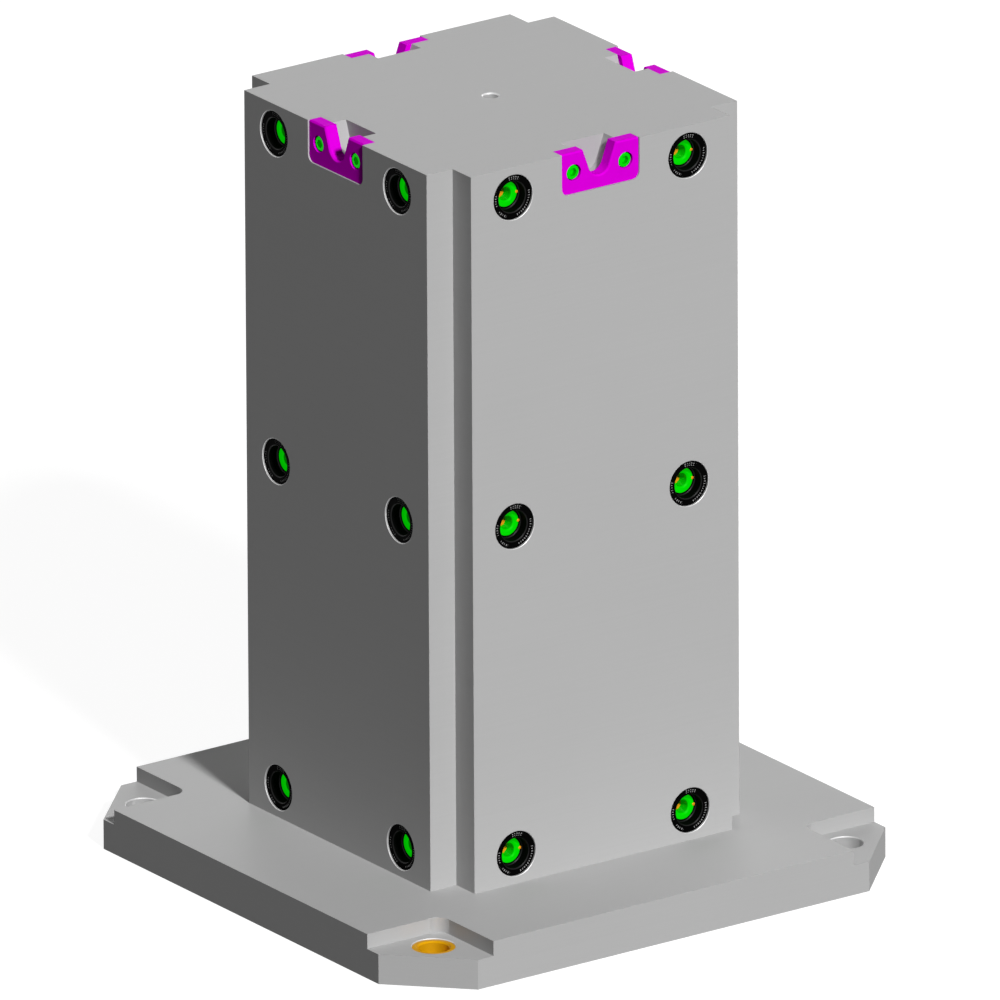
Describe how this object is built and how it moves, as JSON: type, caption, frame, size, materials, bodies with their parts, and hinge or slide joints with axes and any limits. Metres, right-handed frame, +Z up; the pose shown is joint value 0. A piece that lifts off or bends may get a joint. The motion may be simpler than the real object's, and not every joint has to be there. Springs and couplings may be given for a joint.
{
  "type": "tombstone fixture",
  "caption": "Square cast tombstone fixture with receiver bushings on four faces, notched hanger plates at the top and a wide base plate with corner pockets.",
  "frame": {"origin": "middle of the base plate's underside, at the bottom of the bounding box", "axes": "+Z up along the column, -Y out of the front face (the bright one in the picture), +X to the right seen from the front"},
  "size_m": [0.5, 0.5, 0.6477],
  "materials": {
    "casting": "machined all over, even satin grey",
    "bushing_black": "black finished hardened steel, ground bore",
    "hardware_green": "bright green coated steel",
    "plate_magenta": "bright magenta coated steel",
    "plug_orange": "orange coated steel",
    "liner_gold": "polished gold coloured"
  },
  "bodies": {
    "root": {"tombstone_body": "casting", "front_bushing_top_left": "bushing_black", "front_insert_top_left": "hardware_green", "front_bushing_top_right": "bushing_black", "front_insert_top_right": "hardware_green", "front_bushing_middle_left": "bushing_black", "front_insert_middle_left": "hardware_green", "front_bushing_middle_right": "bushing_black", "front_insert_middle_right": "hardware_green", "front_bushing_bottom_left": "bushing_black", "front_insert_bottom_left": "hardware_green", "front_bushing_bottom_right": "bushing_black", "front_insert_bottom_right": "hardware_green", "right_bushing_top_left": "bushing_black", "right_insert_top_left": "hardware_green", "right_bushing_top_right": "bushing_black", "right_insert_top_right": "hardware_green", "right_bushing_middle_left": "bushing_black", "right_insert_middle_left": "hardware_green", "right_bushing_middle_right": "bushing_black", "right_insert_middle_right": "hardware_green", "right_bushing_bottom_left": "bushing_black", "right_insert_bottom_left": "hardware_green", "right_bushing_bottom_right": "bushing_black", "right_insert_bottom_right": "hardware_green", "back_bushing_top_left": "bushing_black", "back_insert_top_left": "hardware_green", "back_bushing_top_right": "bushing_black", "back_insert_top_right": "hardware_green", "back_bushing_middle_left": "bushing_black", "back_insert_middle_left": "hardware_green", "back_bushing_middle_right": "bushing_black", "back_insert_middle_right": "hardware_green", "back_bushing_bottom_left": "bushing_black", "back_insert_bottom_left": "hardware_green", "back_bushing_bottom_right": "bushing_black", "back_insert_bottom_right": "hardware_green", "left_bushing_top_left": "bushing_black", "left_insert_top_left": "hardware_green", "left_bushing_top_right": "bushing_black", "left_insert_top_right": "hardware_green", "left_bushing_middle_left": "bushing_black", "left_insert_middle_left": "hardware_green", "left_bushing_middle_right": "bushing_black", "left_insert_middle_right": "hardware_green", "left_bushing_bottom_left": "bushing_black", "left_insert_bottom_left": "hardware_green", "left_bushing_bottom_right": "bushing_black", "left_insert_bottom_right": "hardware_green", "insert_lock_pins": "plug_orange", "insert_back_plugs": "plug_orange", "front_hanger_plate": "plate_magenta", "right_hanger_plate": "plate_magenta", "back_hanger_plate": "plate_magenta", "left_hanger_plate": "plate_magenta", "hanger_plate_screws": "hardware_green", "front_left_liner": "liner_gold", "back_right_liner": "liner_gold"}
  },
  "joints": []
}
